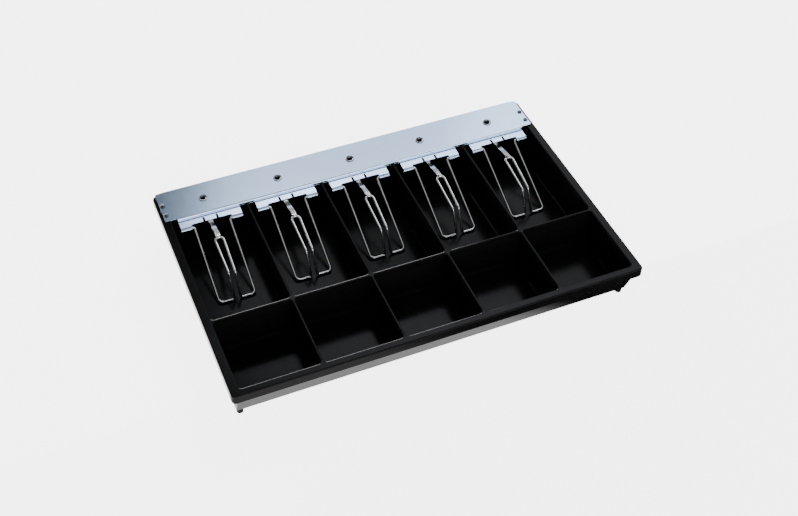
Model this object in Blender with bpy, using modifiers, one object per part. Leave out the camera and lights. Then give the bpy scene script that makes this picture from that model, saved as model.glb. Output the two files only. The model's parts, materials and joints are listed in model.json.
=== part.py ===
"""Till insert of a cash drawer: a moulded tray with five note bays and five coin cups,
a plated hold-down bracket across its back, and five sprung wire note clips.

Units are metres, +Z up. The origin is under the centre of the tray, on the bench that its
feet stand on. +X runs along the row of bays, and +Y runs to the back, where the bracket is.
"""

import math

import bmesh
import bpy
from mathutils import Matrix, Vector

MM = 0.001

# Layout of the tray, seen from above.
BAYS = 5
PITCH = 74 * MM
DIVIDER = 2.5 * MM
WIDTH = 384 * MM
DEPTH = 255 * MM
BODY_HALF_WIDTH = 186.5 * MM
FRONT_WALL_Y = -123 * MM
FRONT_INSIDE_Y = -120.5 * MM
MID_WALL_Y = -42.5 * MM
BACK_INSIDE_Y = 120.5 * MM
BACK_WALL_Y = 123.5 * MM

# Heights of the tray.
RIM_Z = 45 * MM
RIM_THICKNESS = 2.5 * MM
LIP_DROP = 10 * MM
LIP_THICKNESS = 2 * MM
STEP = 0.4 * MM
FLOOR_Z = 7 * MM
UNDERSIDE_Z = 5 * MM
FRONT_TOE_Y = -112 * MM
CORNER_RADIUS = 4 * MM
EDGE_RADIUS = 1 * MM
COMPARTMENT_RADIUS = 3 * MM
FLOOR_FILLET = 2.5 * MM
MOUTH_RADIUS = 0.9 * MM
SCOOP_RADIUS = 25 * MM

# Hold-down bracket, a folded steel strip.
GAP = 0.3 * MM
STEEL = 1.2 * MM
BRACKET_HALF_WIDTH = 189 * MM
STEP_FRONT_Y = 87.2 * MM
LEDGE_TOP_Z = RIM_Z - 1.6 * MM
LEDGE_FRONT_Y = 80 * MM
LEDGE_SLOPE = 4
BEND_INSIDE = 0.4 * MM
TAB_FRONT_Y = 88.5 * MM
TAB_RADIUS = 2 * MM
REAR_FLANGE_Y = 129.4 * MM
REAR_FLANGE_BOTTOM_Z = RIM_Z - 7 * MM
REAR_FLANGE_HALF_WIDTH = 183 * MM
SLOT_CENTRE = 6.4 * MM
SLOT_WIDTH = 2 * MM
SLOT_BACK_Y = 85 * MM

# Knuckles of the bracket, and the clips that hinge in them.
WIRE_RADIUS = 1.15 * MM
KNUCKLE_BORE = WIRE_RADIUS + GAP
KNUCKLE_INNER_X = 19.3 * MM
KNUCKLE_OUTER_X = 29.5 * MM
CURL_END = 340
HINGE_Y = 78.3 * MM
CLIP_LEG_X = 17 * MM
CLIP_FRONT_Y = 7.5 * MM
CLIP_FRONT_Z = FLOOR_Z + WIRE_RADIUS + 0.35 * MM
RISER_X = 3 * MM
RISER_TOP_Y = 18.5 * MM
RISER_TOP_Z = RIM_Z - 13 * MM
LOOP_RADIUS = 4 * MM
LOOP_BACK_Y = 57.5 * MM
LOOP_BACK_Z = RIM_Z - 5 * MM

# Leaf springs and the eyelets that hold them to the bracket.
LEAF = 0.6 * MM
LEAF_BASE_WIDTH = 10.6 * MM
LEAF_STRIP_WIDTH = 4.5 * MM
LEAF_BACK_Y = 117 * MM
LEAF_BEND = 1.2 * MM
LEAF_FOOT_Z = RIM_Z - 9.6 * MM
EYELET_Y = 107 * MM
EYELET_BORE = 2.4 * MM
EYELET_TUBE = 2.9 * MM
EYELET_HEAD = 4.2 * MM
EYELET_CURL = 3.8 * MM
EYELET_HEAD_HEIGHT = 0.6 * MM

# Screws at the bracket's ends, and the feet.
SCREW_X = 186 * MM
SCREW_YS = (96.5 * MM, 109.5 * MM)
SCREW_SHANK = 1.1 * MM
SCREW_HEAD = 2.2 * MM
SCREW_HEAD_HEIGHT = 1 * MM
SCREW_LENGTH = 9 * MM
BOSS_HALF = 4 * MM
FOOT_X = 183 * MM
FOOT_FRONT_Y = -108.7 * MM
FOOT_BACK_Y = 119.5 * MM
FOOT_RADIUS = 3 * MM
FOOT_CHAMFER = 0.5 * MM

BAY_CENTRES = [(bay - (BAYS - 1) / 2) * PITCH for bay in range(BAYS)]
BAY_HALF = (PITCH - DIVIDER) / 2
LEDGE_HALF_WIDTH = BAY_CENTRES[-1] + KNUCKLE_OUTER_X
PLATE_BOTTOM_Z = RIM_Z + GAP
PLATE_TOP_Z = PLATE_BOTTOM_Z + STEEL
BEND_OUTSIDE = BEND_INSIDE + STEEL
ROUND_STEPS = 24

# The knuckles hang from the front edge of the sloping ledge, which sets the hinge's height.
LEDGE_BEND = (STEP_FRONT_Y - BEND_INSIDE, LEDGE_TOP_Z + BEND_INSIDE)
LEDGE_TILT = math.radians(LEDGE_SLOPE)
HINGE_DROP = (KNUCKLE_BORE + BEND_OUTSIDE) / math.cos(LEDGE_TILT)
HINGE_Z = LEDGE_BEND[1] - (LEDGE_BEND[0] - HINGE_Y) * math.tan(LEDGE_TILT) - HINGE_DROP

# Local X to world Y, local Y to world Z, local Z to world X: stands a flat outline up on edge.
SIDEWAYS = Matrix(((0, 0, 1, 0), (1, 0, 0, 0), (0, 1, 0, 0), (0, 0, 0, 1)))


# ---------------------------------------------------------------- scene, materials, modifiers

def clear_scene():
    for obj in list(bpy.data.objects):
        bpy.data.objects.remove(obj, do_unlink=True)


def new_collection(name):
    collection = bpy.data.collections.new(name)
    bpy.context.scene.collection.children.link(collection)
    return collection


def new_material(name, colour, roughness, metallic):
    material = bpy.data.materials.new(name)
    material.use_nodes = True
    shader = material.node_tree.nodes["Principled BSDF"]
    shader.inputs["Base Color"].default_value = (*colour, 1.0)
    shader.inputs["Roughness"].default_value = roughness
    shader.inputs["Metallic"].default_value = metallic
    material.diffuse_color = (*colour, 1.0)
    return material


def place(obj, collection, material=None):
    collection.objects.link(obj)
    if material:
        obj.data.materials.append(material)
    return obj


def hide_cutter(obj):
    obj.hide_render = True
    obj.display_type = "WIRE"
    return obj


def boolean(obj, other, operation):
    modifier = obj.modifiers.new(f"{operation.lower()}_{other.name}", "BOOLEAN")
    modifier.operation = operation
    modifier.solver = "EXACT"
    modifier.object = other


def smooth(obj, degrees=35):
    """Smooth shading across bends and fillets, with flat faces kept flat."""
    obj.data.shade_smooth()
    obj.data.set_sharp_from_angle(angle=math.radians(degrees))
    weighted = obj.modifiers.new("face_weighted_normals", "WEIGHTED_NORMAL")
    weighted.keep_sharp = True


# ---------------------------------------------------------------- shapes

def arc(centre, radius, start, end, steps):
    """Points of an arc in a plane, angles in degrees."""
    points = []
    for step in range(steps + 1):
        angle = math.radians(start + (end - start) * step / steps)
        points.append((centre[0] + radius * math.cos(angle), centre[1] + radius * math.sin(angle)))
    return points


def rounded_rectangle(half_x, half_y, radius, steps):
    points = []
    for quarter, (sx, sy) in enumerate(((1, 1), (-1, 1), (-1, -1), (1, -1))):
        centre = (sx * (half_x - radius), sy * (half_y - radius))
        points += arc(centre, radius, 90 * quarter, 90 * (quarter + 1), steps)
    return points


def curve_to_mesh(curve_obj, name):
    """A mesh object in a curve's place, with its caps welded on."""
    scene_objects = bpy.context.scene.collection.objects
    scene_objects.link(curve_obj)
    bpy.context.view_layer.update()
    evaluated = curve_obj.evaluated_get(bpy.context.evaluated_depsgraph_get())
    mesh = bpy.data.meshes.new_from_object(evaluated)
    work = bmesh.new()
    work.from_mesh(mesh)
    bmesh.ops.remove_doubles(work, verts=work.verts, dist=0.002 * MM)
    bmesh.ops.recalc_face_normals(work, faces=work.faces)
    work.to_mesh(mesh)
    work.free()
    matrix = curve_obj.matrix_world.copy()
    bpy.data.objects.remove(curve_obj, do_unlink=True)
    obj = bpy.data.objects.new(name, mesh)
    obj.matrix_world = matrix
    return obj


def outline_solid(name, outline, thickness, matrix, edge_radius=0.0):
    """A flat outline given half its thickness each way, with optional rounded edges."""
    curve = bpy.data.curves.new(name, "CURVE")
    curve.dimensions = "2D"
    curve.fill_mode = "BOTH"
    curve.extrude = thickness / 2 - edge_radius
    curve.bevel_depth = edge_radius
    curve.bevel_resolution = 1
    curve.offset = -edge_radius
    spline = curve.splines.new("POLY")
    spline.points.add(len(outline) - 1)
    for point, (x, y) in zip(spline.points, outline):
        point.co = (x, y, 0, 1)
    spline.use_cyclic_u = True
    curve_obj = bpy.data.objects.new(name, curve)
    curve_obj.matrix_world = matrix
    return curve_to_mesh(curve_obj, name)


def boxes(name, corner_pairs):
    """One mesh of separate boxes, each given by its lowest and highest corner."""
    work = bmesh.new()
    for low, high in corner_pairs:
        low = Vector(low)
        high = Vector(high)
        size = high - low
        matrix = Matrix.Translation((low + high) / 2) @ Matrix.Diagonal((*size, 1))
        bmesh.ops.create_cube(work, size=1, matrix=matrix)
    mesh = bpy.data.meshes.new(name)
    work.to_mesh(mesh)
    work.free()
    return bpy.data.objects.new(name, mesh)


def rods(name, feet, radius, length):
    """One mesh of upright rods, each given by the centre of its lower end."""
    work = bmesh.new()
    for foot in feet:
        matrix = Matrix.Translation(Vector(foot) + Vector((0, 0, length / 2)))
        bmesh.ops.create_cone(work, cap_ends=True, segments=ROUND_STEPS, radius1=radius,
                              radius2=radius, depth=length, matrix=matrix)
    mesh = bpy.data.meshes.new(name)
    work.to_mesh(mesh)
    work.free()
    return bpy.data.objects.new(name, mesh)


def turned(name, profile, closed, steps=ROUND_STEPS):
    """A profile of (radius, height) points spun about Z."""
    mesh = bpy.data.meshes.new(name)
    count = len(profile)
    edges = [(index, index + 1) for index in range(count - 1)]
    if closed:
        edges.append((count - 1, 0))
    mesh.from_pydata([(radius, 0, height) for radius, height in profile], edges, [])
    obj = bpy.data.objects.new(name, mesh)
    screw = obj.modifiers.new("turn", "SCREW")
    screw.steps = steps
    screw.render_steps = steps
    screw.use_merge_vertices = True
    screw.merge_threshold = 0.01 * MM
    screw.use_smooth_shade = True
    return obj


def rounded_path(corners, steps=5):
    """A centre line through (point, bend radius) corners, each bend a true arc."""
    path = [Vector(corners[0][0])]
    for index in range(1, len(corners) - 1):
        corner = Vector(corners[index][0])
        radius = corners[index][1]
        to_last = (Vector(corners[index - 1][0]) - corner).normalized()
        to_next = (Vector(corners[index + 1][0]) - corner).normalized()
        half_angle = to_last.angle(to_next) / 2
        reach = radius / math.tan(half_angle)
        centre = corner + (to_last + to_next).normalized() * radius / math.sin(half_angle)
        start = corner + to_last * reach - centre
        end = corner + to_next * reach - centre
        sweep = start.angle(end)
        for step in range(steps + 1):
            share = step / steps
            spoke = start * math.sin((1 - share) * sweep) + end * math.sin(share * sweep)
            path.append(centre + spoke / math.sin(sweep))
    path.append(Vector(corners[-1][0]))
    return path


# ---------------------------------------------------------------- tray

def basin_outline():
    """Side view of the tray's body under its rim: sloped front, flat underside."""
    top = RIM_Z - LIP_DROP / 2
    toe = 1.5 * MM
    return ([(FRONT_WALL_Y, top), (FRONT_WALL_Y, RIM_Z - LIP_DROP - STEP),
             (FRONT_TOE_Y - 0.4 * MM, UNDERSIDE_Z + toe), (FRONT_TOE_Y + toe, UNDERSIDE_Z)]
            + arc((BACK_WALL_Y - toe, UNDERSIDE_Z + toe), toe, -90, 0, 3)
            + [(BACK_WALL_Y, top)])


def scoop_front(height):
    """How far forward a coin cup reaches at a height: floor, scoop, slope, upright wall."""
    slope = math.atan2(FRONT_TOE_Y - FRONT_WALL_Y, RIM_Z - LIP_DROP - UNDERSIDE_Z)
    floor_depth = FLOOR_Z - UNDERSIDE_Z
    wall_foot = FRONT_TOE_Y + DIVIDER / math.cos(slope) - floor_depth * math.tan(slope)
    centre_y = wall_foot + SCOOP_RADIUS * math.tan((math.pi / 2 - slope) / 2)
    rise = height - FLOOR_Z
    if rise < SCOOP_RADIUS * (1 - math.sin(slope)):
        reach = math.sqrt(SCOOP_RADIUS ** 2 - (SCOOP_RADIUS - rise) ** 2)
        return min(centre_y - reach, FRONT_INSIDE_Y + SCOOP_RADIUS)
    return max(wall_foot - rise * math.tan(slope), FRONT_INSIDE_Y)


def compartment_levels(front, back, scooped):
    """(height, front, back, half width, corner radius) up a compartment, floor to mouth."""
    levels = []
    for share in (0, 0.1, 0.4, 1):
        grow = -FLOOR_FILLET * (1 - math.sqrt(1 - (1 - share) ** 2))
        levels.append((FLOOR_Z + share * FLOOR_FILLET, grow))
    if scooped:
        levels += [(FLOOR_Z + rise * MM, 0) for rise in (4.5, 8, 12, 16)]
        levels.append((RIM_Z - LIP_DROP + 0.5 * MM, 0))
    bulge = (1 - math.sqrt(0.5)) * MOUTH_RADIUS
    over = 0.1 * MM
    levels += [(RIM_Z - MOUTH_RADIUS, 0),
               (RIM_Z - bulge, bulge),
               (RIM_Z + over, MOUTH_RADIUS + over * (MOUTH_RADIUS - bulge) / bulge)]
    for height, grow in levels:
        in_scoop = scooped and height < RIM_Z - LIP_DROP
        near = scoop_front(height) if scooped else front
        if not in_scoop:
            near -= grow
        yield height, near, back + grow, BAY_HALF + grow, COMPARTMENT_RADIUS + grow


def compartment_cutter(name):
    """The insides of all ten compartments, each a ring loft between unlike sections."""
    work = bmesh.new()
    rows = ((FRONT_INSIDE_Y, MID_WALL_Y - DIVIDER / 2, True),
            (MID_WALL_Y + DIVIDER / 2, BACK_INSIDE_Y, False))
    for centre_x in BAY_CENTRES:
        for front, back, scooped in rows:
            rings = []
            for height, low_y, high_y, half_x, radius in compartment_levels(front, back, scooped):
                outline = rounded_rectangle(half_x, (high_y - low_y) / 2, radius, 3)
                middle = (low_y + high_y) / 2
                rings.append([work.verts.new((centre_x + x, middle + y, height))
                              for x, y in outline])
            count = len(rings[0])
            for lower, upper in zip(rings, rings[1:]):
                for index in range(count):
                    after = (index + 1) % count
                    work.faces.new((lower[index], lower[after], upper[after], upper[index]))
            work.faces.new(rings[0][::-1])
            work.faces.new(rings[-1])
    bmesh.ops.triangulate(work, faces=work.faces)
    mesh = bpy.data.meshes.new(name)
    work.to_mesh(mesh)
    work.free()
    return bpy.data.objects.new(name, mesh)


def channel_cutter(cutters):
    """Hollow between the tray's walls and its turned-down lip, left solid at the screws."""
    reach_x = WIDTH / 2 - LIP_THICKNESS
    reach_y = DEPTH / 2 - LIP_THICKNESS
    low_z = RIM_Z - LIP_DROP - 1 * MM
    high_z = RIM_Z - RIM_THICKNESS
    ring = place(boxes("rim_channel", [((-reach_x, -reach_y, low_z), (reach_x, reach_y, high_z))]),
                 cutters)
    keep = [((-BODY_HALF_WIDTH - STEP, FRONT_WALL_Y - STEP, low_z - 1 * MM),
             (BODY_HALF_WIDTH + STEP, BACK_WALL_Y + STEP, high_z + 1 * MM))]
    boss_low = min(SCREW_YS) - BOSS_HALF
    boss_high = max(SCREW_YS) + BOSS_HALF
    for side in (-1, 1):
        ends = sorted((side * (SCREW_X - 2 * MM), side * (reach_x + 1 * MM)))
        keep.append(((ends[0], boss_low, low_z - 1 * MM), (ends[1], boss_high, high_z + 1 * MM)))
    for number, corners in enumerate(keep):
        core = place(boxes(f"rim_channel_core_{number}", [corners]), cutters)
        boolean(ring, hide_cutter(core), "DIFFERENCE")
    return hide_cutter(ring)


def make_tray(parts, cutters, material):
    outline = rounded_rectangle(WIDTH / 2, DEPTH / 2, CORNER_RADIUS, 4)
    middle = Matrix.Translation((0, 0, RIM_Z - LIP_DROP / 2))
    tray = place(outline_solid("tray", outline, LIP_DROP, middle, EDGE_RADIUS), parts, material)
    basin = place(outline_solid("basin", basin_outline(), 2 * BODY_HALF_WIDTH, SIDEWAYS), cutters)
    boolean(tray, hide_cutter(basin), "UNION")
    boolean(tray, channel_cutter(cutters), "DIFFERENCE")
    boolean(tray, hide_cutter(place(compartment_cutter("compartments"), cutters)), "DIFFERENCE")
    room = 0.6 * MM
    slot_low = (-LEDGE_HALF_WIDTH, STEP_FRONT_Y - room, LEDGE_TOP_Z - STEEL - room)
    slot_high = (LEDGE_HALF_WIDTH, STEP_FRONT_Y + STEEL + room, RIM_Z + room)
    slots = place(boxes("divider_slots", [(slot_low, slot_high)]), cutters)
    boolean(tray, hide_cutter(slots), "DIFFERENCE")
    depth = SCREW_LENGTH + 1 * MM
    hole_feet = [(side * SCREW_X, y, RIM_Z - depth + 1 * MM) for side in (-1, 1) for y in SCREW_YS]
    holes = rods("tray_screw_holes", hole_feet, SCREW_SHANK + GAP, depth)
    boolean(tray, hide_cutter(place(holes, cutters)), "DIFFERENCE")
    return tray


# ---------------------------------------------------------------- bracket

def bracket_outline():
    """Side view of the folded strip: rear flange, plate, step, ledge, curl of a knuckle."""
    bend_z = PLATE_BOTTOM_Z - BEND_INSIDE
    step_bend = (STEP_FRONT_Y + BEND_OUTSIDE, bend_z)
    rear_bend = (REAR_FLANGE_Y - BEND_OUTSIDE, bend_z)
    hinge = (HINGE_Y, HINGE_Z)
    curl_start = 90 + LEDGE_SLOPE
    return (arc(rear_bend, BEND_INSIDE, 90, 0, 3)
            + [(REAR_FLANGE_Y - STEEL, REAR_FLANGE_BOTTOM_Z), (REAR_FLANGE_Y, REAR_FLANGE_BOTTOM_Z)]
            + arc(rear_bend, BEND_OUTSIDE, 0, 90, 4)
            + arc(step_bend, BEND_OUTSIDE, 90, 180, 4)
            + arc(LEDGE_BEND, BEND_INSIDE, 0, LEDGE_SLOPE - 90, 3)
            + arc(hinge, KNUCKLE_BORE + STEEL, curl_start, CURL_END, 14)
            + arc(hinge, KNUCKLE_BORE, CURL_END, curl_start, 14)
            + arc(LEDGE_BEND, BEND_OUTSIDE, LEDGE_SLOPE - 90, 0, 4)
            + arc(step_bend, BEND_INSIDE, 180, 90, 3))


def window_cutouts():
    """Boxes that leave the ledge's curled edge only at the knuckles, and none over the dividers."""
    front = HINGE_Y - 10 * MM
    low = HINGE_Z - 10 * MM
    high = LEDGE_TOP_Z + 1 * MM
    cuts = []
    for centre_x in BAY_CENTRES:
        cuts.append(((centre_x - KNUCKLE_INNER_X, front, low),
                     (centre_x + KNUCKLE_INNER_X, LEDGE_FRONT_Y, high)))
    for centre_x in BAY_CENTRES[:-1]:
        cuts.append(((centre_x + KNUCKLE_OUTER_X, front, low),
                     (centre_x + PITCH - KNUCKLE_OUTER_X, STEP_FRONT_Y - 0.1 * MM, high)))
    return cuts


def curl_end_cutouts():
    """Boxes under the ledge that take off what is left of the curl between two knuckles."""
    return [((centre_x - KNUCKLE_INNER_X, LEDGE_FRONT_Y - 1 * MM, HINGE_Z - 10 * MM),
             (centre_x + KNUCKLE_INNER_X, LEDGE_FRONT_Y + 2 * MM, HINGE_Z + 0.5 * MM))
            for centre_x in BAY_CENTRES]


def slot_cutouts():
    """Boxes for the two slots that leave a tongue in the middle of each bay's ledge."""
    cuts = []
    for centre_x in BAY_CENTRES:
        for side in (-1, 1):
            left = centre_x + side * SLOT_CENTRE - SLOT_WIDTH / 2
            cuts.append(((left, LEDGE_FRONT_Y - 1 * MM, HINGE_Z),
                         (left + SLOT_WIDTH, SLOT_BACK_Y, LEDGE_TOP_Z + 1 * MM)))
    return cuts


def end_outlines(side):
    """Seen from above, what is cut off before and behind the tab at one end of the plate."""
    beyond = 1 * MM
    over = 0.05 * MM
    outer_x = BRACKET_HALF_WIDTH + beyond
    corner_x = BRACKET_HALF_WIDTH + over - TAB_RADIUS
    tab_back_y = REAR_FLANGE_Y - STEEL - BEND_INSIDE
    front = (arc((corner_x, TAB_FRONT_Y + TAB_RADIUS), TAB_RADIUS, -90, 0, 5)
             + [(outer_x, TAB_FRONT_Y + TAB_RADIUS), (outer_x, HINGE_Y - 10 * MM),
                (LEDGE_HALF_WIDTH, HINGE_Y - 10 * MM), (LEDGE_HALF_WIDTH, TAB_FRONT_Y)])
    rear = (arc((corner_x, tab_back_y - TAB_RADIUS), TAB_RADIUS, 90, 0, 5)
            + [(outer_x, tab_back_y - TAB_RADIUS), (outer_x, REAR_FLANGE_Y + beyond),
               (REAR_FLANGE_HALF_WIDTH, REAR_FLANGE_Y + beyond),
               (REAR_FLANGE_HALF_WIDTH, tab_back_y)])
    return [[(side * x, y) for x, y in outline] for outline in (front, rear)]


def make_bracket(parts, cutters, material):
    bracket = outline_solid("hold_down_bracket", bracket_outline(), 2 * BRACKET_HALF_WIDTH,
                            SIDEWAYS)
    place(bracket, parts, material)
    cutting = [boxes("bracket_windows", window_cutouts()),
               boxes("curl_ends", curl_end_cutouts()),
               boxes("tongue_slots", slot_cutouts())]
    half_height = PLATE_TOP_Z - HINGE_Z + 10 * MM
    middle = Matrix.Translation((0, 0, HINGE_Z))
    for side, side_name in ((-1, "left"), (1, "right")):
        for outline, place_name in zip(end_outlines(side), ("front", "rear")):
            cutting.append(outline_solid(f"bracket_end_{side_name}_{place_name}", outline,
                                         2 * half_height, middle))
    low = PLATE_BOTTOM_Z - 1 * MM
    height = STEEL + 2 * MM
    eyelet_feet = [(x, EYELET_Y, low) for x in BAY_CENTRES]
    screw_feet = [(side * SCREW_X, y, low) for side in (-1, 1) for y in SCREW_YS]
    cutting.append(rods("bracket_eyelet_holes", eyelet_feet, EYELET_TUBE + GAP, height))
    cutting.append(rods("bracket_screw_holes", screw_feet, SCREW_SHANK + GAP, height))
    for cutter in cutting:
        boolean(bracket, hide_cutter(place(cutter, cutters)), "DIFFERENCE")
    return bracket


# ---------------------------------------------------------------- clips, springs, fasteners

def clip_half(side):
    """Corners of one half of a clip, from its hinge end to the closed loop of its hairpin."""
    tight = 2 * MM
    return [((side * (KNUCKLE_OUTER_X - GAP), HINGE_Y, HINGE_Z), 0),
            ((side * CLIP_LEG_X, HINGE_Y, HINGE_Z), tight),
            ((side * CLIP_LEG_X, CLIP_FRONT_Y, CLIP_FRONT_Z), 2 * tight),
            ((side * RISER_X, CLIP_FRONT_Y, CLIP_FRONT_Z), tight),
            ((side * RISER_X, RISER_TOP_Y, RISER_TOP_Z), tight),
            ((side * LOOP_RADIUS, LOOP_BACK_Y, LOOP_BACK_Z), LOOP_RADIUS - 0.01 * MM)]


def make_clip(number, centre_x, parts, material):
    """A wire note clip, with its origin in the middle of its hinge axis."""
    path = rounded_path(clip_half(-1) + clip_half(1)[::-1])
    hinge = Vector((0, HINGE_Y, HINGE_Z))
    curve = bpy.data.curves.new(f"bill_clip_{number}", "CURVE")
    curve.dimensions = "3D"
    curve.bevel_depth = WIRE_RADIUS
    curve.bevel_resolution = 2
    curve.use_fill_caps = True
    spline = curve.splines.new("POLY")
    spline.points.add(len(path) - 1)
    for point, position in zip(spline.points, path):
        point.co = (*(position - hinge), 1)
    clip = place(bpy.data.objects.new(f"bill_clip_{number}", curve), parts, material)
    clip.location = hinge + Vector((centre_x, 0, 0))
    return clip


def leaf_path():
    """Side view of a leaf spring's middle line, with the half width of the leaf at each point."""
    base_z = PLATE_BOTTOM_Z - GAP - LEAF / 2
    drop_y = STEP_FRONT_Y + STEEL + GAP + LEAF / 2
    loop_top_z = LOOP_BACK_Z + WIRE_RADIUS + GAP + LEAF / 2
    tip_y = LOOP_BACK_Y + 0.5 * MM
    corners = [((0, LEAF_BACK_Y, base_z), 0),
               ((0, drop_y, base_z), LEAF_BEND),
               ((0, drop_y, LEAF_FOOT_Z), LEAF_BEND),
               ((0, tip_y, loop_top_z), 3 * MM),
               ((0, tip_y - 3 * MM, loop_top_z + 2.5 * MM), 0)]
    path = rounded_path(corners, steps=4)
    wide = LEAF_BASE_WIDTH / 2
    narrow = LEAF_STRIP_WIDTH / 2
    widths = []
    for point in path:
        fall = (base_z - LEAF_BEND - point.z) / (base_z - LEAF_BEND - (LEAF_FOOT_Z + LEAF_BEND))
        share = 0.0 if point.y > drop_y + 0.01 * MM else min(max(fall, 0.0), 1.0)
        if point.y < drop_y - 0.01 * MM:
            share = 1.0
        widths.append(wide + (narrow - wide) * share)
    return path, widths


def make_leaf(number, centre_x, parts, cutters, material):
    """A flat spring: base under the plate, down behind the tongue, out over the clip's loop."""
    path, widths = leaf_path()
    name = f"leaf_spring_{number}"
    work = bmesh.new()
    rows = [[work.verts.new((side * width, point.y, point.z)) for side in (-1, 1)]
            for point, width in zip(path, widths)]
    for row, after in zip(rows, rows[1:]):
        work.faces.new((row[0], row[1], after[1], after[0]))
    mesh = bpy.data.meshes.new(name)
    work.to_mesh(mesh)
    work.free()
    leaf = place(bpy.data.objects.new(name, mesh), parts, material)
    leaf.location = (centre_x, 0, 0)
    solidify = leaf.modifiers.new("thickness", "SOLIDIFY")
    solidify.thickness = LEAF
    solidify.offset = 0
    solidify.use_even_offset = True
    hole = rods(f"leaf_hole_{number}", [(centre_x, EYELET_Y, RIM_Z - 3 * MM)],
                EYELET_TUBE + GAP, 6 * MM)
    boolean(leaf, hide_cutter(place(hole, cutters)), "DIFFERENCE")
    return leaf


def make_eyelet(number, centre_x, parts, material):
    """A tubular rivet through the plate and the spring under it."""
    head_z = PLATE_TOP_Z + GAP
    curl_z = PLATE_BOTTOM_Z - 2 * GAP - LEAF
    crown = 0.3 * MM
    profile = [(EYELET_BORE + crown, head_z + EYELET_HEAD_HEIGHT),
               (EYELET_HEAD - crown, head_z + EYELET_HEAD_HEIGHT - crown / 2),
               (EYELET_HEAD, head_z),
               (EYELET_TUBE, head_z),
               (EYELET_TUBE, curl_z),
               (EYELET_CURL, curl_z),
               (EYELET_CURL, curl_z - EYELET_HEAD_HEIGHT),
               (EYELET_BORE, curl_z - EYELET_HEAD_HEIGHT),
               (EYELET_BORE, head_z)]
    eyelet = place(turned(f"spring_eyelet_{number}", profile, closed=True), parts, material)
    eyelet.location = (centre_x, EYELET_Y, 0)
    return eyelet


def make_screw(name, x, y, parts, material):
    """A small pan-head screw through the bracket's end into the tray's rim."""
    seat = PLATE_TOP_Z + GAP
    tip = seat - SCREW_LENGTH
    profile = [(0, seat + SCREW_HEAD_HEIGHT),
               (0.55 * SCREW_HEAD, seat + 0.93 * SCREW_HEAD_HEIGHT),
               (0.85 * SCREW_HEAD, seat + 0.68 * SCREW_HEAD_HEIGHT),
               (SCREW_HEAD, seat + 0.25 * SCREW_HEAD_HEIGHT),
               (SCREW_HEAD, seat),
               (SCREW_SHANK, seat),
               (SCREW_SHANK, tip + 2 * SCREW_SHANK),
               (0, tip)]
    screw = place(turned(name, profile, closed=False, steps=16), parts, material)
    screw.location = (x, y, 0)
    return screw


def make_foot(name, x, y, parts, material):
    """A small soft bumper stuck under a corner of the tray."""
    top = UNDERSIDE_Z - GAP
    profile = [(0, top), (FOOT_RADIUS, top), (FOOT_RADIUS, FOOT_CHAMFER),
               (FOOT_RADIUS - FOOT_CHAMFER, 0), (0, 0)]
    foot = place(turned(name, profile, closed=False), parts, material)
    foot.location = (x, y, 0)
    return foot


def main():
    clear_scene()
    parts = new_collection("cash_drawer_till_insert")
    cutters = new_collection("cutters")
    black = new_material("black_moulded_plastic", (0.012, 0.012, 0.014), 0.32, 0.0)
    zinc = new_material("zinc_plated_steel", (0.62, 0.67, 0.72), 0.28, 1.0)
    wire = new_material("bright_spring_wire", (0.75, 0.75, 0.74), 0.16, 1.0)
    spring = new_material("spring_strip_steel", (0.78, 0.79, 0.80), 0.22, 1.0)
    eyelet_steel = new_material("eyelet_steel", (0.45, 0.50, 0.56), 0.30, 1.0)
    screw_steel = new_material("dark_screw_steel", (0.20, 0.23, 0.27), 0.35, 1.0)
    rubber = new_material("black_rubber", (0.02, 0.02, 0.02), 0.75, 0.0)

    smooth(make_tray(parts, cutters, black))
    smooth(make_bracket(parts, cutters, zinc))
    for number, centre_x in enumerate(BAY_CENTRES, 1):
        make_clip(number, centre_x, parts, wire)
        smooth(make_leaf(number, centre_x, parts, cutters, spring))
        make_eyelet(number, centre_x, parts, eyelet_steel)
    for side, side_name in ((-1, "left"), (1, "right")):
        for y, y_name in zip(SCREW_YS, ("front", "rear")):
            make_screw(f"bracket_screw_{side_name}_{y_name}", side * SCREW_X, y, parts, screw_steel)
        make_foot(f"foot_front_{side_name}", side * FOOT_X, FOOT_FRONT_Y, parts, rubber)
        make_foot(f"foot_rear_{side_name}", side * FOOT_X, FOOT_BACK_Y, parts, rubber)


main()
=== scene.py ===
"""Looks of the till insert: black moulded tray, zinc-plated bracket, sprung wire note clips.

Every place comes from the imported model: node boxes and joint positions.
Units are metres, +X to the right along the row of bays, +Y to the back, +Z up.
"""

import json
import math

import bmesh
import bpy
from mathutils import Euler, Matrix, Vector


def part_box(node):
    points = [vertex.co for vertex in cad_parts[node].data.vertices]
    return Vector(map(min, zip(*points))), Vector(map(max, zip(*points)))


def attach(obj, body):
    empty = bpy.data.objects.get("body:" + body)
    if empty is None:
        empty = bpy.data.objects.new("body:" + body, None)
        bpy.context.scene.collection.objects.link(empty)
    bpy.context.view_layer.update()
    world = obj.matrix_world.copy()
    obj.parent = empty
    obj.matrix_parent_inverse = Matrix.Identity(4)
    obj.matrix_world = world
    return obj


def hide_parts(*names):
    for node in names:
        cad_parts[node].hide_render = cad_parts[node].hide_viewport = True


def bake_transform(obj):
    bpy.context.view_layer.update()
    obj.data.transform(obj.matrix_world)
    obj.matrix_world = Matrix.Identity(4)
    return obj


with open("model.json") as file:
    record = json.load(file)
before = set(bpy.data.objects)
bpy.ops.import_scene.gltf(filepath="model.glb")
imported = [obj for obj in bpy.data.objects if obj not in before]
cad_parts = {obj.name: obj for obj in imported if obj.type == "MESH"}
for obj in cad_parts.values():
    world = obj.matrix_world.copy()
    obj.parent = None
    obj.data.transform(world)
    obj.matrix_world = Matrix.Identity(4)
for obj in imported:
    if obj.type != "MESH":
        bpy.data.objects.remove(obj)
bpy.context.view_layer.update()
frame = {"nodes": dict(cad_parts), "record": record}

MM = 0.001
BAYS = range(1, 6)

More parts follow.
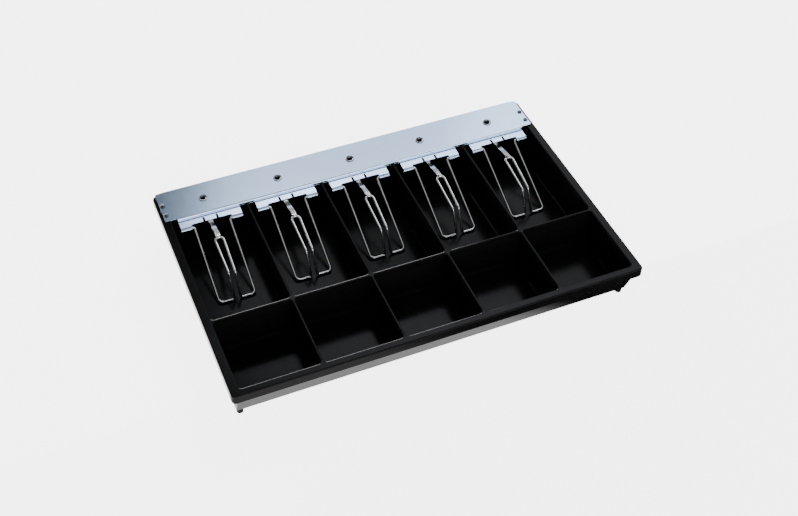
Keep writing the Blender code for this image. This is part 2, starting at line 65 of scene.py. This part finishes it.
# Wire clip, measured from its own box and its hinge.
WIRE_RADIUS = 1.15 * MM
WIRE_SIDES = 20
BEND_STEPS = 12
TIGHT_BEND = 2 * MM
LEG_X = 17 * MM
RISER_X = 3 * MM
RISER_RUN = 11 * MM
RISER_RISE = 23.5 * MM
LOOP_RADIUS = 4 * MM
LOOP_RUN = 50 * MM
LOOP_RISE = 31.5 * MM

# Leaf spring: a wide base under the plate, a drop, then a narrow strip to the clip's loop.
LEAF = 0.6 * MM
LEAF_STRIP_WIDTH = 4.5 * MM
LEAF_BEND = 1.2 * MM
LEAF_TIP_BEND = 3 * MM
LEAF_TIP_LIFT = 2.5 * MM
LEAF_TIP_ROUND = 2 * MM
LEAF_DROP = 28 * MM
LEAF_GAP = 0.3 * MM
LEAF_ROW = 1.5 * MM
LEAF_EDGE = 0.12 * MM
LEAF_COLUMNS = (-3, -2, -1, 1, 2, 3)
EYELET_HOLE = 3.2 * MM

# Eyelets and screws.
EYELET_BORE = 2.4 * MM
EYELET_TUBE = 2.9 * MM
EYELET_CURL = 3.8 * MM
EYELET_HEAD = 0.6 * MM
EYELET_STEPS = 48
SCREW_HEAD = 1 * MM
SCREW_SHANK = 1.1 * MM
SCREW_PITCH = 0.8 * MM
SCREW_STEPS = 32
RECESS_REACH = 0.62
RECESS_WIDTH = 0.3 * MM
RECESS_TAPER = 0.55
RECESS_DEPTH = 0.62
RECESS_CLEAR = 0.5

# Angles over which an edge stays sharp.
ROUND_SHARP = 50
SHEET_SHARP = 40
CAD_SHARP = 35

# Camera: place in metres, turn in degrees, lens and sensor in millimetres.
CAMERA_PLACE = (-0.29989, -0.71502, 0.8185)
CAMERA_TURN = (43.812, -0.618, -22.645)
CAMERA_LENS = 53.777
CAMERA_SENSOR = 36

# Floor, and the dark card in front of the tray. The card is painted shade: it stands for the
# tray's shadow on the floor in front, and is hidden from the camera and from shadow rays, so it
# shows only in what the tray mirrors and in light bounced onto the tray. The card fades in
# along a slanting line through SHADOW_CARD_PIVOT, over
# SHADOW_CARD_FADE, from SHADOW_CARD_LEFT at the left to fully dark at the right.
FLOOR_GLOW = 4.6
FLOOR_HALF = 6.0
FLOOR_DROP = 0.2 * MM
SHADOW_CARD_SLANT = 2.7
SHADOW_CARD_PIVOT = (0.0855, 0.118)
SHADOW_CARD_FADE = 0.09
SHADOW_CARD_START = SHADOW_CARD_PIVOT[0] + SHADOW_CARD_PIVOT[1] * SHADOW_CARD_SLANT - SHADOW_CARD_FADE / 2
SHADOW_CARD_END = SHADOW_CARD_START + SHADOW_CARD_FADE
SHADOW_CARD_LEFT = 0.55
SHADOW_CARD_HEIGHT = 0.2 * MM
SHADOW_CARD_CORNERS = ((-0.5, -0.45), (0.7, -0.45), (0.7, -0.09), (-0.5, -0.09))

# Lights: azimuth, elevation, width, height, power, colour. Azimuth 0 is straight behind.
SKY_TINT = (0.90, 0.95, 1.0)
WORLD_STRENGTH = 1.0
WORLD_STOPS = ((0.0, 1.0), (0.2, 0.8), (0.45, 0.12), (0.75, 0.05), (1.0, 0.6))
LIGHT_AIM = Vector((0, 0.02, 0.03))
LIGHT_DISTANCE = 1.9
WHITE = (1.0, 1.0, 1.0)
SOFTBOXES = (("side_box", 37.5, 42, 1.67, 0.8, 7.2, SKY_TINT),
             ("end_box", 48, 41, 1.0, 0.6, 2.9, SKY_TINT),
             ("back_box", 34, 54, 1.3, 0.34, 6, SKY_TINT),
             ("low_back_box", -6, 6, 1.9, 0.5, 50, WHITE),
             ("front_box", 172, 22, 1.7, 1.1, 24, WHITE))


# ---------------------------------------------------------------- node materials

class Nodes:
    """A material's node tree, with short calls for the nodes used here."""

    def __init__(self, name, metallic, roughness, specular=0.5):
        self.material = bpy.data.materials.new(name)
        self.material.use_nodes = True
        self.tree = self.material.node_tree
        self.shader = self.tree.nodes["Principled BSDF"]
        self.shader.inputs["Metallic"].default_value = metallic
        self.shader.inputs["Roughness"].default_value = roughness
        self.shader.inputs["Specular IOR Level"].default_value = specular
        self.coords = self.tree.nodes.new("ShaderNodeTexCoord").outputs["Object"]

    def link(self, source, target):
        self.tree.links.new(source, target)

    def stretched(self, scale):
        mapping = self.tree.nodes.new("ShaderNodeMapping")
        mapping.inputs["Scale"].default_value = scale
        self.link(self.coords, mapping.inputs["Vector"])
        return mapping.outputs["Vector"]

    def noise(self, scale, detail=2.0, roughness=0.5, vector=None, distortion=0.0):
        node = self.tree.nodes.new("ShaderNodeTexNoise")
        node.inputs["Scale"].default_value = scale
        node.inputs["Detail"].default_value = detail
        node.inputs["Roughness"].default_value = roughness
        node.inputs["Distortion"].default_value = distortion
        self.link(vector or self.coords, node.inputs["Vector"])
        return node.outputs["Fac"]

    def cells(self, scale, vector=None):
        node = self.tree.nodes.new("ShaderNodeTexVoronoi")
        node.inputs["Scale"].default_value = scale
        self.link(vector or self.coords, node.inputs["Vector"])
        return node.outputs["Color"]

    def spread(self, value, low, high, to_low, to_high):
        node = self.tree.nodes.new("ShaderNodeMapRange")
        node.inputs["From Min"].default_value = low
        node.inputs["From Max"].default_value = high
        node.inputs["To Min"].default_value = to_low
        node.inputs["To Max"].default_value = to_high
        self.link(value, node.inputs["Value"])
        return node.outputs["Result"]

    def total(self, first, second):
        node = self.tree.nodes.new("ShaderNodeMath")
        node.operation = "ADD"
        self.link(first, node.inputs[0])
        self.link(second, node.inputs[1])
        return node.outputs["Value"]

    def colours(self, value, stops):
        node = self.tree.nodes.new("ShaderNodeValToRGB")
        ramp = node.color_ramp
        while len(ramp.elements) < len(stops):
            ramp.elements.new(0.5)
        for element, (place, colour) in zip(ramp.elements, stops):
            element.position = place
            element.color = (*colour, 1.0)
        self.link(value, node.inputs["Fac"])
        return node.outputs["Color"]

    def bump(self, height, distance, strength=1.0, under=None, edge=None):
        node = self.tree.nodes.new("ShaderNodeBump")
        node.inputs["Distance"].default_value = distance
        node.inputs["Strength"].default_value = strength
        self.link(height, node.inputs["Height"])
        if under:
            self.link(under, node.inputs["Normal"])
        elif edge:
            bevel = self.tree.nodes.new("ShaderNodeBevel")
            bevel.samples = 4
            bevel.inputs["Radius"].default_value = edge
            self.link(bevel.outputs["Normal"], node.inputs["Normal"])
        return node.outputs["Normal"]

    def finish(self, colour=None, roughness=None, normal=None):
        for output, socket in ((colour, "Base Color"), (roughness, "Roughness"),
                               (normal, "Normal")):
            if output:
                self.link(output, self.shader.inputs[socket])
        return self.material


def moulded_plastic():
    """Black ABS: spark-eroded satin texture, faint flow marks, rubbed patches."""
    nodes = Nodes("black_moulded_plastic", 0.0, 0.17, 0.06)
    grain = nodes.noise(1900, 3, 0.6)
    flow = nodes.noise(30, 3, 0.55, nodes.stretched((0.5, 1.0, 2.0)), 0.6)
    rubs = nodes.noise(160, 4, 0.6, nodes.stretched((1.0, 0.12, 1.0)))
    colour = nodes.colours(flow, ((0.3, (0.0038, 0.0038, 0.0040)),
                                  (0.7, (0.0066, 0.0066, 0.0068))))
    roughness = nodes.total(nodes.spread(flow, 0.3, 0.7, 0.15, 0.19),
                            nodes.spread(rubs, 0.5, 0.8, 0.0, 0.03))
    normal = nodes.bump(grain, 0.06 * MM, 0.12, edge=0.3 * MM)
    normal = nodes.bump(flow, 0.4 * MM, 0.12, under=normal)
    return nodes.finish(colour, roughness, normal)


def zinc_plate():
    """Bright zinc over rolled strip: bluish, faint spangle, fine rolling lines along X."""
    nodes = Nodes("zinc_plated_steel", 1.0, 0.36)
    rolled = nodes.noise(1.0, 4, 0.65, nodes.stretched((14, 900, 900)))
    cloud = nodes.noise(22, 3, 0.55, nodes.stretched((0.6, 1.0, 1.0)), 0.4)
    spangle = nodes.cells(260, nodes.stretched((0.7, 1.0, 1.0)))
    colour = nodes.colours(cloud, ((0.25, (0.42, 0.55, 0.76)), (0.5, (0.46, 0.58, 0.78)),
                                   (0.75, (0.50, 0.62, 0.81))))
    roughness = nodes.total(nodes.spread(rolled, 0.3, 0.7, 0.17, 0.20),
                            nodes.spread(spangle, 0.0, 1.0, 0.0, 0.015))
    normal = nodes.bump(rolled, 0.02 * MM, 0.05, edge=0.25 * MM)
    normal = nodes.bump(cloud, 0.5 * MM, 0.04, under=normal)
    return nodes.finish(colour, roughness, normal)


def bright_metal(name, dark, light, roughness, stretch):
    """Plated or rolled steel with drawing lines along one way and soft tarnish."""
    nodes = Nodes(name, 1.0, roughness)
    lines = nodes.noise(1.0, 3, 0.6, nodes.stretched(stretch))
    tarnish = nodes.noise(140, 3, 0.6)
    colour = nodes.colours(tarnish, ((0.35, dark), (0.65, light)))
    rough = nodes.total(nodes.spread(lines, 0.3, 0.7, roughness - 0.04, roughness + 0.04),
                        nodes.spread(tarnish, 0.4, 0.7, 0.0, 0.05))
    normal = nodes.bump(lines, 0.012 * MM, 0.4)
    return nodes.finish(colour, rough, normal)


def black_rubber():
    """Matt rubber with a fine grain and a little dust."""
    nodes = Nodes("black_rubber", 0.0, 0.78, 0.15)
    grain = nodes.noise(1400, 4, 0.7)
    dust = nodes.noise(300, 3, 0.6)
    colour = nodes.colours(dust, ((0.35, (0.006, 0.006, 0.006)), (0.7, (0.014, 0.014, 0.0135))))
    roughness = nodes.spread(dust, 0.3, 0.7, 0.70, 0.86)
    return nodes.finish(colour, roughness, nodes.bump(grain, 0.08 * MM, 0.6))


# ---------------------------------------------------------------- mesh helpers

def linked(name, work):
    """A bmesh made into an object of the scene. The bmesh is freed."""
    mesh = bpy.data.meshes.new(name)
    work.to_mesh(mesh)
    work.free()
    obj = bpy.data.objects.new(name, mesh)
    bpy.context.scene.collection.objects.link(obj)
    return obj


def new_piece(name, work, material, slot, body, *nodes):
    """Turns a bmesh into a piece that stands for CAD nodes and rides on a body, if given."""
    obj = linked(name, work)
    obj.data.materials.append(material)
    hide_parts(*nodes)
    if body:
        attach(obj, body)
    return obj


def shade(obj, degrees):
    """Smooth shading, with edges over this angle kept sharp."""
    obj.data.shade_smooth()
    obj.data.set_sharp_from_angle(angle=math.radians(degrees))


def rounded_path(corners, steps):
    """A centre line through (point, bend radius) corners, each bend a true arc."""
    path = [Vector(corners[0][0])]
    for index in range(1, len(corners) - 1):
        corner = Vector(corners[index][0])
        radius = corners[index][1]
        to_last = (Vector(corners[index - 1][0]) - corner).normalized()
        to_next = (Vector(corners[index + 1][0]) - corner).normalized()
        half_angle = to_last.angle(to_next) / 2
        reach = radius / math.tan(half_angle)
        centre = corner + (to_last + to_next).normalized() * radius / math.sin(half_angle)
        start = corner + to_last * reach - centre
        end = corner + to_next * reach - centre
        sweep = start.angle(end)
        for step in range(steps + 1):
            share = step / steps
            spoke = start * math.sin((1 - share) * sweep) + end * math.sin(share * sweep)
            path.append(centre + spoke / math.sin(sweep))
    path.append(Vector(corners[-1][0]))
    return path


def tube(work, path, radius, sides):
    """Round wire along a path, carried without twist, with domed sheared-off ends."""
    def ring(centre, direction, side, size):
        up = direction.cross(side)
        verts = []
        for index in range(sides):
            angle = 2 * math.pi * index / sides
            offset = side * math.cos(angle) + up * math.sin(angle)
            verts.append(work.verts.new(centre + offset * size))
        return verts

    rings = []
    count = len(path)
    side = None
    for index, centre in enumerate(path):
        before = path[max(index - 1, 0)]
        after = path[min(index + 1, count - 1)]
        direction = (after - before).normalized()
        if side is None:
            side = direction.orthogonal().normalized()
        side = (side - direction * side.dot(direction)).normalized()
        if index in (0, count - 1):
            outward = -1 if index == 0 else 1
            dome = [(radius * (0.25 - 0.25 * share), radius * math.sqrt(1 - 0.6 * share))
                    for share in (0.0, 0.45, 1.0)]
            section = [ring(centre - direction * outward * back, direction, side, size)
                       for back, size in dome]
            rings += section[::-1] if index == 0 else section
        else:
            rings.append(ring(centre, direction, side, radius))
    for lower, upper in zip(rings, rings[1:]):
        for index in range(sides):
            after = (index + 1) % sides
            work.faces.new((lower[index], lower[after], upper[after], upper[index]))
    work.faces.new(rings[0][::-1])
    work.faces.new(rings[-1])


def lathe(work, profile, steps, centre):
    """A closed or axis-ended profile of (radius, height) points spun about Z."""
    rings = []
    for radius, height in profile:
        if radius == 0:
            rings.append([work.verts.new((centre.x, centre.y, height))])
            continue
        rings.append([work.verts.new((centre.x + radius * math.cos(2 * math.pi * step / steps),
                                      centre.y + radius * math.sin(2 * math.pi * step / steps),
                                      height)) for step in range(steps)])
    pairs = list(zip(rings, rings[1:]))
    if profile[0][0]:
        pairs.append((rings[-1], rings[0]))
    for first, second in pairs:
        for step in range(steps):
            after = (step + 1) % steps
            corners = [first[step % len(first)], first[after % len(first)],
                       second[after % len(second)], second[step % len(second)]]
            face = list(dict.fromkeys(corners))
            if len(face) > 2:
                work.faces.new(face)
    bmesh.ops.recalc_face_normals(work, faces=work.faces)


def applied(obj):
    """The object's mesh with its modifiers applied, as a bmesh. The object is removed."""
    bpy.context.view_layer.update()
    evaluated = obj.evaluated_get(bpy.context.evaluated_depsgraph_get())
    mesh = bpy.data.meshes.new_from_object(evaluated)
    work = bmesh.new()
    work.from_mesh(mesh)
    bpy.data.meshes.remove(mesh)
    bpy.data.objects.remove(obj, do_unlink=True)
    return work


def cut(work, cutter_work):
    """One bmesh cut out of another with an exact boolean."""
    target = linked("cutting", work)
    cutter = linked("cutting", cutter_work)
    modifier = target.modifiers.new("cut", "BOOLEAN")
    modifier.operation = "DIFFERENCE"
    modifier.solver = "EXACT"
    modifier.object = cutter
    result = applied(target)
    bpy.data.objects.remove(cutter, do_unlink=True)
    return result


# ---------------------------------------------------------------- pieces

def make_clip(number, hinge, material):
    """One wire note clip: legs from the knuckles, front bar, and a raised hairpin."""
    node = f"bill_clip_{number}"
    low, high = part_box(node)
    front_y = low.y + WIRE_RADIUS
    front_z = low.z + WIRE_RADIUS
    end_x = (high.x - low.x) / 2

    def half(side):
        points = [((end_x, hinge.y, hinge.z), 0),
                  ((LEG_X, hinge.y, hinge.z), TIGHT_BEND),
                  ((LEG_X, front_y, front_z), 2 * TIGHT_BEND),
                  ((RISER_X, front_y, front_z), TIGHT_BEND),
                  ((RISER_X, front_y + RISER_RUN, front_z + RISER_RISE), TIGHT_BEND),
                  ((LOOP_RADIUS, front_y + LOOP_RUN, front_z + LOOP_RISE),
                   LOOP_RADIUS - 0.01 * MM)]
        return [((hinge.x + side * x, y, z), radius) for (x, y, z), radius in points]

    path = rounded_path(half(-1) + half(1)[::-1], BEND_STEPS)
    work = bmesh.new()
    tube(work, path, WIRE_RADIUS, WIRE_SIDES)
    clip = new_piece(f"note_clip_wire_{number}", work, material, "clip_wire",
                      f"clip_{number}", node)
    shade(clip, ROUND_SHARP)


def leaf_strip(low, high, path, drop_y, drop_top, drop_bottom):
    """A flat sheet along the path, wide at its base and narrowing down its drop."""
    wide = (high.x - low.x) / 2
    narrow = LEAF_STRIP_WIDTH / 2
    lengths = [0.0]
    for start, end in zip(path, path[1:]):
        lengths.append(lengths[-1] + (end - start).length)
    work = bmesh.new()
    rows = []
    for point, length in zip(path, lengths):
        if point.y > drop_y + 0.01 * MM:
            share = 0.0
        elif point.y < drop_y - 0.01 * MM:
            share = 1.0
        else:
            share = min(max((drop_top - point.z) / (drop_top - drop_bottom), 0.0), 1.0)
        half = wide + (narrow - wide) * share
        to_tip = lengths[-1] - length
        if to_tip < LEAF_TIP_ROUND:
            round_off = 1 - math.sqrt(1 - (1 - to_tip / LEAF_TIP_ROUND) ** 2)
            half -= 0.7 * LEAF_TIP_ROUND * round_off
        centre_x = (low.x + high.x) / 2
        rows.append([work.verts.new((centre_x + half * column / LEAF_COLUMNS[-1],
                                     point.y, point.z)) for column in LEAF_COLUMNS])
    for row, after in zip(rows, rows[1:]):
        for column in range(len(LEAF_COLUMNS) - 1):
            work.faces.new((row[column], row[column + 1], after[column + 1], after[column]))
    return work


def thickened(work):
    """A sheet given the leaf's thickness, with softened edges."""
    strip = linked("strip", work)
    solidify = strip.modifiers.new("thickness", "SOLIDIFY")
    solidify.thickness = LEAF
    solidify.offset = 0
    solidify.use_even_offset = True
    edges = strip.modifiers.new("edges", "BEVEL")
    edges.width = LEAF_EDGE
    edges.segments = 2
    edges.limit_method = "ANGLE"
    edges.angle_limit = math.radians(ROUND_SHARP)
    return applied(strip)


def make_leaf(number, material):
    """One flat spring, riveted under the plate, reaching down to its clip's loop."""
    node = f"leaf_spring_{number}"
    low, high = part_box(node)
    base_z = high.z - LEAF / 2
    foot_z = low.z + LEAF / 2
    drop_y = high.y - LEAF_DROP
    loop_low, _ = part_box(f"bill_clip_{number}")
    loop_y = loop_low.y + WIRE_RADIUS + LOOP_RUN
    loop_z = loop_low.z + 2 * WIRE_RADIUS + LOOP_RISE + LEAF_GAP + LEAF / 2
    tip_y = loop_y + 0.5 * MM
    corners = [((0, high.y, base_z), 0),
               ((0, drop_y, base_z), LEAF_BEND),
               ((0, drop_y, foot_z), LEAF_BEND),
               ((0, tip_y, loop_z), LEAF_TIP_BEND),
               ((0, low.y + 0.05 * MM, loop_z + LEAF_TIP_LIFT), 0)]
    bends = rounded_path(corners, 8)
    path = []
    for start, end in zip(bends, bends[1:]):
        parts = max(1, round((end - start).length / LEAF_ROW))
        path += [start.lerp(end, step / parts) for step in range(parts)]
    path.append(bends[-1])
    sheet = leaf_strip(low, high, path, drop_y, base_z - LEAF_BEND, foot_z + LEAF_BEND)
    eyelet_low, eyelet_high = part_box(f"spring_eyelet_{number}")
    hole = bmesh.new()
    lathe(hole, [(0, base_z - 2 * MM), (EYELET_HOLE, base_z - 2 * MM),
                 (EYELET_HOLE, base_z + 2 * MM), (0, base_z + 2 * MM)],
          SCREW_STEPS, (eyelet_low + eyelet_high) / 2)
    leaf = new_piece(f"spring_strip_{number}", cut(thickened(sheet), hole), material,
                     "leaf_steel", None, node)
    shade(leaf, SHEET_SHARP)
    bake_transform(leaf)


def make_eyelet(number, material):
    """A rolled tubular rivet: funnelled flange above, tube, curled end below."""
    node = f"spring_eyelet_{number}"
    low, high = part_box(node)
    centre = (low + high) / 2
    head = (high.x - low.x) / 2
    seat = high.z - EYELET_HEAD
    curl = low.z + EYELET_HEAD
    bore = EYELET_BORE
    tube_r = EYELET_TUBE
    roll = head - 0.35 * MM
    funnel = tube_r + 0.12 * MM
    profile = [(bore, seat - 1.1 * MM), (bore + 0.08 * MM, seat - 0.5 * MM),
               (bore + 0.24 * MM, seat - 0.1 * MM), (funnel, seat + 0.14 * MM),
               (roll - 0.3 * MM, high.z - 0.08 * MM), (roll - 0.1 * MM, high.z),
               (roll + 0.15 * MM, high.z - 0.03 * MM),
               (head - 0.1 * MM, seat + 0.22 * MM), (head, seat + 0.06 * MM),
               (head - 0.06 * MM, seat), (tube_r, seat), (tube_r, curl),
               (EYELET_CURL - 0.15 * MM, curl), (EYELET_CURL, curl - 0.15 * MM),
               (EYELET_CURL - 0.1 * MM, curl - 0.4 * MM),
               (EYELET_CURL - 0.4 * MM, low.z + 0.05 * MM),
               (tube_r, low.z), (bore + 0.2 * MM, low.z + 0.1 * MM), (bore, curl - 0.1 * MM)]
    work = bmesh.new()
    lathe(work, profile, EYELET_STEPS, centre)
    eyelet = new_piece(f"rolled_eyelet_{number}", work, material, "eyelet_steel", "till", node)
    shade(eyelet, ROUND_SHARP)


def make_screw(node, material):
    """A pan-head screw with a cross recess."""
    low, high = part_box(node)
    centre = (low + high) / 2
    head = (high.x - low.x) / 2
    seat = high.z - SCREW_HEAD
    dome = [(0, high.z)]
    for step in range(1, 7):
        angle = math.radians(15 * step)
        dome.append((head * math.sin(angle) ** 0.8,
                     seat + SCREW_HEAD * (0.2 + 0.8 * math.cos(angle))))
    shank = SCREW_SHANK
    root = shank - 0.2 * MM
    point_z = low.z + 2 * shank
    thread = []
    height = seat - 0.6 * MM
    while height - SCREW_PITCH > point_z:
        thread += [(shank, height), (shank, height - 0.15 * MM),
                   (root, height - 0.35 * MM), (root, height - 0.6 * MM)]
        height -= SCREW_PITCH
    profile = dome + [(head, seat), (shank, seat)] + thread + [(shank, point_z), (0, low.z)]
    work = bmesh.new()
    lathe(work, profile, SCREW_STEPS, centre)
    reach = RECESS_REACH * head
    for length, width in ((reach, RECESS_WIDTH), (RECESS_WIDTH, reach)):
        block = bmesh.new()
        bmesh.ops.create_cube(block, size=2)
        for vert in block.verts:
            taper = RECESS_TAPER if vert.co.z < 0 else 1.0
            lift = RECESS_CLEAR if vert.co.z > 0 else -RECESS_DEPTH
            vert.co = Vector((centre.x + vert.co.x * length * taper,
                              centre.y + vert.co.y * width * taper, high.z + lift * MM))
        work = cut(work, block)
    screw = new_piece(node.replace("bracket_screw", "cross_screw"), work, material,
                      "screw_steel", "till", node)
    shade(screw, SHEET_SHARP)


# ---------------------------------------------------------------- floor, lights, camera

def pale_floor():
    """Near-white floor with a faint cloud, glowing evenly so that no shadow shows."""
    nodes = Nodes("pale_floor", 0.0, 0.6, 0.2)
    cloud = nodes.noise(2.0, 3, 0.5)
    colour = nodes.colours(cloud, ((0.3, (0.86, 0.86, 0.86)), (0.7, (0.90, 0.90, 0.90))))
    nodes.shader.inputs["Emission Color"].default_value = (*WHITE, 1.0)
    nodes.shader.inputs["Emission Strength"].default_value = FLOOR_GLOW
    return nodes.finish(colour, nodes.spread(cloud, 0.3, 0.7, 0.55, 0.65))


def make_floor():
    """A wide flat floor just under the feet."""
    work = bmesh.new()
    bmesh.ops.create_grid(work, x_segments=8, y_segments=8, size=FLOOR_HALF)
    floor = linked("floor", work)
    floor.data.materials.append(pale_floor())
    floor.location.z = -FLOOR_DROP


def make_painted_shadow_card():
    """A dark card lying in front of the tray: painted shade standing for the tray's shadow on
    the floor, hidden from the camera and from shadow rays, seen in the tray's reflections and
    bounced light.
    """
    work = bmesh.new()
    work.faces.new([work.verts.new((x, y, SHADOW_CARD_HEIGHT)) for x, y in SHADOW_CARD_CORNERS])
    shadow_card = linked("painted_floor_shadow", work)
    nodes = Nodes("painted_floor_shadow", 0.0, 0.9, 0.0)
    slant = nodes.tree.nodes.new("ShaderNodeVectorMath")
    slant.operation = "DOT_PRODUCT"
    slant.inputs[1].default_value = (1.0, -SHADOW_CARD_SLANT, 0.0)
    nodes.link(nodes.coords, slant.inputs[0])
    # painted shadow: the card's cover fades from part dark at the left to fully dark at the
    # right
    fade = nodes.spread(slant.outputs["Value"], SHADOW_CARD_START, SHADOW_CARD_END, SHADOW_CARD_LEFT, 1.0)
    fade.node.interpolation_type = "SMOOTHSTEP"
    nodes.link(fade, nodes.shader.inputs["Alpha"])
    grain = nodes.noise(40)
    # near-black colour of the painted floor shadow
    colour = nodes.colours(grain, ((0.3, (0.004, 0.004, 0.004)), (0.7, (0.006, 0.006, 0.006))))
    shadow_card.data.materials.append(nodes.finish(colour))
    shadow_card.visible_camera = False
    shadow_card.visible_shadow = False


def make_softbox(name, azimuth, elevation, width, height, power, colour):
    """An area light aimed at the tray. Azimuth 0 is straight behind it, 90 to its right."""
    light = bpy.data.lights.new(name, "AREA")
    light.shape = "RECTANGLE"
    light.size = width
    light.size_y = height
    light.energy = power
    light.color = colour
    obj = bpy.data.objects.new(name, light)
    bpy.context.scene.collection.objects.link(obj)
    turn = math.radians(azimuth)
    tilt = math.radians(elevation)
    away = Vector((math.sin(turn) * math.cos(tilt), math.cos(turn) * math.cos(tilt),
                   math.sin(tilt)))
    obj.location = LIGHT_AIM + away * LIGHT_DISTANCE
    obj.rotation_euler = away.to_track_quat("Z", "Y").to_euler()


def studio_world():
    """Soft surroundings, brightest near the horizon: grey by height above it."""
    world = bpy.data.worlds.new("studio")
    world.use_nodes = True
    tree = world.node_tree
    background = tree.nodes["Background"]
    coords = tree.nodes.new("ShaderNodeTexCoord")
    split = tree.nodes.new("ShaderNodeSeparateXYZ")
    ramp_node = tree.nodes.new("ShaderNodeValToRGB")
    ramp = ramp_node.color_ramp
    while len(ramp.elements) < len(WORLD_STOPS):
        ramp.elements.new(0.5)
    for element, (place, grey) in zip(ramp.elements, WORLD_STOPS):
        element.position = place
        element.color = (grey, grey, grey, 1.0)
    tree.links.new(coords.outputs["Generated"], split.inputs["Vector"])
    tree.links.new(split.outputs["Z"], ramp_node.inputs["Fac"])
    tree.links.new(ramp_node.outputs["Color"], background.inputs["Color"])
    background.inputs["Strength"].default_value = WORLD_STRENGTH
    bpy.context.scene.world = world


def make_camera():
    """Looks down on the tray from the front, a little to the left of its middle."""
    camera = bpy.data.cameras.new("camera")
    camera.sensor_width = CAMERA_SENSOR
    camera.lens = CAMERA_LENS
    camera.clip_start = 0.01
    obj = bpy.data.objects.new("camera", camera)
    bpy.context.scene.collection.objects.link(obj)
    obj.location = CAMERA_PLACE
    obj.rotation_euler = Euler([math.radians(angle) for angle in CAMERA_TURN], "XYZ")
    bpy.context.scene.camera = obj


def carry_over(node, material):
    """A CAD node keeps its shape, and gets a material and clean shading."""
    obj = frame["nodes"][node]
    if not obj.material_slots:
        obj.data.materials.append(material)
    for slot in obj.material_slots:
        slot.material = material
    shade(obj, CAD_SHARP)
    weighted = obj.modifiers.new("face_weighted_normals", "WEIGHTED_NORMAL")
    weighted.keep_sharp = True


HINGES = {int(joint["name"].split("_")[1]): Vector(joint["pos_m"])
          for joint in frame["record"]["behaviour"]["joints"]}

make_camera()
make_floor()
make_painted_shadow_card()
studio_world()
for softbox in SOFTBOXES:
    make_softbox(*softbox)

plastic = moulded_plastic()
zinc = zinc_plate()
wire = bright_metal("spring_wire", (0.64, 0.64, 0.64), (0.79, 0.79, 0.79), 0.2, (500, 40, 40))
strip = bright_metal("spring_strip", (0.66, 0.68, 0.70), (0.82, 0.83, 0.84), 0.24,
                     (1600, 30, 30))
rivet = bright_metal("eyelet_steel", (0.22, 0.25, 0.29), (0.34, 0.37, 0.41), 0.3,
                     (300, 300, 300))
dark = bright_metal("dark_screw_steel", (0.05, 0.06, 0.08), (0.14, 0.16, 0.19), 0.34,
                    (400, 400, 400))
rubber = black_rubber()

carry_over("tray", plastic)
carry_over("hold_down_bracket", zinc)
for place in ("front_left", "front_right", "rear_left", "rear_right"):
    carry_over(f"foot_{place}", rubber)
for bay in BAYS:
    make_clip(bay, HINGES[bay], wire)
    make_leaf(bay, strip)
    make_eyelet(bay, rivet)
for side in ("left", "right"):
    for place in ("front", "rear"):
        make_screw(f"bracket_screw_{side}_{place}", dark)
